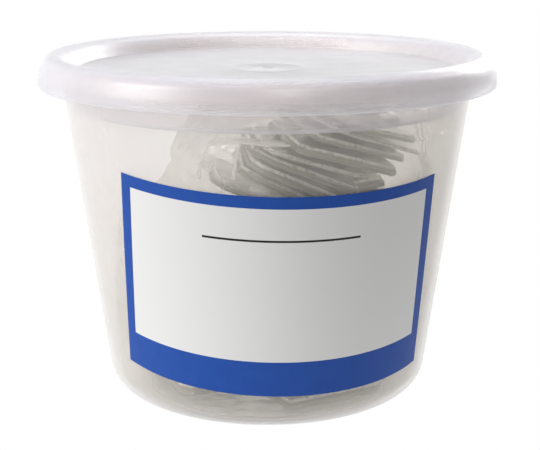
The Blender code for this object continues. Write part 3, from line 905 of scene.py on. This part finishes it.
# %% [markdown]
# ## The plates
#
# A bump map could draw the leaves, but it can't break the outline, which shows against the light.
# So each plate starts as a copy of its solid, merged so that its flat faces are whole. It is cut
# along the leaves at uneven heights, and the long edges are divided. Then every ring of points is
# moved in by its own noise, which leaves the edge stepped and ragged as if the leaves had torn one
# by one.

# %% Copy and cut a plate
LEAVES = (0.16, 0.20, 0.42, 0.46, 0.70, 0.74, 0.88)  # where the cuts are, as shares of the thickness
LAYERS = 12.0                    # each cut falls in a layer of its own, and the top face is the last
RAGGED = 0.30 * MM
FRAY = 0.30 * MM                 # how far the uppermost leaf has worn back
TEAR_SIZE = 2.2 * MM
# Edges longer than the first value get the second number of cuts, in this order
DIVISIONS = ((5.0 * MM, 9), (1.2 * MM, 1))
EDGE_LEAN = 0.3                  # sine of the most that an edge leans from the leaves
FACE_LEAN = 0.9                  # cosine of the most that a cleavage face leans from them
FACE_AREA = 40.0 * MM ** 2       # a smaller face is a step between leaves, and looks torn


def plate_copy(node):
    """A copy of a solid as one closed mesh with whole flat faces."""
    piece = bpy.data.objects.new("plate", node.data.copy())
    scene.collection.objects.link(piece)
    deselect()
    piece.select_set(True)
    bpy.context.view_layer.objects.active = piece
    bpy.ops.object.mode_set(mode="EDIT")
    bpy.ops.mesh.select_all(action="SELECT")
    bpy.ops.mesh.remove_doubles(threshold=SAME_POINT)
    bpy.ops.mesh.dissolve_limited(angle_limit=math.radians(1.0))
    bpy.ops.object.mode_set(mode="OBJECT")
    return piece


def select_long_edges(mesh, up, shortest):
    """Select the edges that run along the leaves and are longer than the shortest."""
    for edge in mesh.edges:
        run = mesh.vertices[edge.vertices[1]].co - mesh.vertices[edge.vertices[0]].co
        edge.select = run.length > shortest and abs(run.normalized().dot(up)) < EDGE_LEAN


def cut_into_leaves(mesh, up, low, thickness):
    """Cut the plate in edit mode along its leaves, and divide its outline."""
    bpy.ops.object.mode_set(mode="EDIT")
    for share in LEAVES:
        bpy.ops.mesh.select_all(action="SELECT")
        bpy.ops.mesh.bisect(plane_co=up * (low + share * thickness), plane_no=up)
    bpy.ops.mesh.select_mode(type="EDGE")
    for shortest, cuts in DIVISIONS:
        bpy.ops.mesh.select_all(action="DESELECT")
        bpy.ops.object.mode_set(mode="OBJECT")
        select_long_edges(mesh, up, shortest)
        bpy.ops.object.mode_set(mode="EDIT")
        bpy.ops.mesh.subdivide(number_cuts=cuts)
    bpy.ops.mesh.select_mode(type="VERT")
    bpy.ops.object.mode_set(mode="OBJECT")


print("cuts in each plate:", len(LEAVES))

# %% Tear its edge, and dress the fifty plates
def tear_into_leaves(mesh, seed):
    """Cut the plate and tear each leaf's edge. Returns each face's finish: 0 face, 1 torn edge."""
    flat = max(mesh.polygons, key=lambda polygon: polygon.area)
    up = flat.normal if flat.normal.z > 0 else -flat.normal
    heights = [vert.co.dot(up) for vert in mesh.vertices]
    low, thickness = min(heights), max(heights) - min(heights)
    cut_into_leaves(mesh, up, low, thickness)
    middle = sum((vert.co for vert in mesh.vertices), Vector()) / len(mesh.vertices)
    depth = mesh.attributes.new("depth", "FLOAT", "POINT")
    for vert in mesh.vertices:
        height = vert.co.dot(up) - low
        outward = vert.co - middle
        outward = (outward - up * outward.dot(up)).normalized()
        layer = round(height / thickness * LAYERS)
        # Each layer of each plate reads a stretch of the noise of its own
        step = noise.cell(Vector((layer * 3.7, seed * 1.9, 0.5)))
        tear = noise.noise(vert.co / TEAR_SIZE + Vector((0.0, 0.0, layer * 5.1 + seed)))
        worn = FRAY if layer == LAYERS else 0.0
        vert.co -= outward * (RAGGED * (0.5 * step + abs(tear)) + worn)
        depth.data[vert.index].value = (thickness - height) / MM
    return [0 if abs(polygon.normal.dot(up)) > FACE_LEAN and polygon.area > FACE_AREA else 1
            for polygon in mesh.polygons]


plate_nodes = sorted(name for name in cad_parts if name.startswith("mica_"))
for number, name in enumerate(plate_nodes, start=1):
    plate = plate_copy(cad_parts[name])
    face_finishes = tear_into_leaves(plate.data, number)
    finish(plate, f"plate_{number:02d}", [name], [mica_face, mica_edge])
    for polygon, face_finish in zip(plate.data.polygons, face_finishes):
        polygon.material_index = face_finish

# %% [markdown]
# ## A light tent
#
# A see-through thing shows what is behind it, so it is lit by a tent of white cloth that glows. The
# tent is a wide round floor with an upright wall, made from one circle. Its glow is full behind and
# to the left. It falls off towards the front right, which gives the tub a darker side. Under the tub
# the cloth is dark, as the tub shades it.

# %% Floor and tent
TENT_RADIUS = 1.6
TENT_HEIGHT = 0.9
TOWARDS_DARK = (0.50, -0.87)     # the floor's direction, right and to the front, that gets darker
FALLOFF_FROM, FALLOFF_TO = 0.09, 0.30      # distances along it, in metres
DARK_SIDE = 0.33
SHADOW_CORE, SHADOW_EDGE = 0.030, 0.037    # radii of the shadow under the tub's foot
SHADOW_GLOW = 0.15

deselect()
bpy.ops.mesh.primitive_circle_add(vertices=96, radius=TENT_RADIUS, fill_type="NGON")
floor = bpy.context.object
floor.name = "studio_floor"
bpy.ops.object.mode_set(mode="EDIT")
bpy.ops.mesh.region_to_loop()
bpy.ops.mesh.extrude_region_move(TRANSFORM_OT_translate={"value": (0.0, 0.0, TENT_HEIGHT)})
bpy.ops.object.mode_set(mode="OBJECT")


def glowing_cloth():
    material, tree, output = start_material("white_tent_cloth")
    coordinates = add_node(tree, "ShaderNodeTexCoord")
    axes = add_node(tree, "ShaderNodeSeparateXYZ", {}, {"Vector": coordinates.outputs["Object"]})
    rightward = add_node(tree, "ShaderNodeMath", {"operation": "MULTIPLY", 1: TOWARDS_DARK[0]},
                         {0: axes.outputs["X"]})
    frontward = add_node(tree, "ShaderNodeMath", {"operation": "MULTIPLY_ADD", 1: TOWARDS_DARK[1]},
                         {0: axes.outputs["Y"], 2: rightward.outputs[0]})
    falloff = add_node(tree, "ShaderNodeMapRange",
                       {"From Min": FALLOFF_FROM, "From Max": FALLOFF_TO,
                        "To Min": 1.0, "To Max": DARK_SIDE},
                       {"Value": frontward.outputs[0]})
    radius = add_node(tree, "ShaderNodeVectorMath", {"operation": "LENGTH"},
                      {0: coordinates.outputs["Object"]})
    shadow = add_node(tree, "ShaderNodeMapRange",
                      {"From Min": SHADOW_CORE, "From Max": SHADOW_EDGE,
                       "To Min": SHADOW_GLOW, "To Max": 1.0},
                      {"Value": radius.outputs["Value"]})
    strength = add_node(tree, "ShaderNodeMath", {"operation": "MULTIPLY"},
                        {0: falloff.outputs["Result"], 1: shadow.outputs["Result"]})
    glow = add_node(tree, "ShaderNodeEmission", {"Color": linear("FFFFFF")},
                    {"Strength": strength.outputs[0]})
    tree.links.new(glow.outputs[0], output.inputs["Surface"])
    return material


floor.data.materials.append(glowing_cloth())
print("tent:", TENT_RADIUS, "m in radius,", TENT_HEIGHT, "m high")

# %% [markdown]
# ## Lights
#
# A large soft key light at the front left lifts the label's left side. One above lights the lid, and
# one behind gives the lid's well its highlight. A small one at the front makes the glints on the film,
# and real glints on the torn mica beside the ones painted into its edge. The open top of the tent lets
# in a weak, slightly warm daylight.

# %% Daylight and lamps
DAYLIGHT = 0.18
# Name, place in metres, height aimed at on the axis, width in metres, power in watts
LAMPS = (
    ("key_light", (-0.87, -0.42, 0.50), 0.05, 0.6, 10.2),
    ("top_light", (-0.05, 0.15, 0.90), 0.08, 0.5, 2.8),
    ("glint_light", (0.15, -0.80, 0.65), 0.06, 0.12, 2.1),
    ("back_light", (0.55, 0.75, 0.50), 0.06, 0.5, 8.0),
)

world = bpy.data.worlds.new("white_room")
scene.world = world
world.use_nodes = True
background = world.node_tree.nodes["Background"]
background.inputs["Color"].default_value = linear("FFFDFB")
background.inputs["Strength"].default_value = DAYLIGHT

for name, place, aim, width, power in LAMPS:
    light = bpy.data.lights.new(name, "AREA")
    light.size = width
    light.energy = power
    lamp = bpy.data.objects.new(name, light)
    scene.collection.objects.link(lamp)
    lamp.location = place
    lamp.rotation_euler = (Vector((0.0, 0.0, aim)) - Vector(place)).to_track_quat("-Z", "Y").to_euler()
    print(f"{name}: {power} W")

# %% [markdown]
# ## Camera
#
# The camera is about 35 cm from the tub's axis and 13 cm up, tipped down. Light crosses many thin
# skins on its way through lid, tub, bag and plates, so Cycles is allowed many bounces.

# %% Camera and light paths
CAMERA_PLACE = (0.00073, -0.3534, 0.1280)
TIPPED_DOWN = 0.2356             # in radians
LENS = 89.32                     # focal length in mm
SENSOR = 36.0                    # its width in mm

camera_data = bpy.data.cameras.new("camera")
camera_data.sensor_width = SENSOR
camera_data.lens = LENS
camera_data.clip_start = 0.01
camera_data.clip_end = 50.0
camera = bpy.data.objects.new("camera", camera_data)
scene.collection.objects.link(camera)
camera.location = CAMERA_PLACE
camera.rotation_euler = (math.pi / 2 - TIPPED_DOWN, 0.0, 0.0)
scene.camera = camera
scene.view_settings.view_transform = "Standard"
scene.cycles.max_bounces = 32
scene.cycles.transmission_bounces = 32
scene.cycles.transparent_max_bounces = 48
print("camera:", [round(value, 4) for value in camera.location])
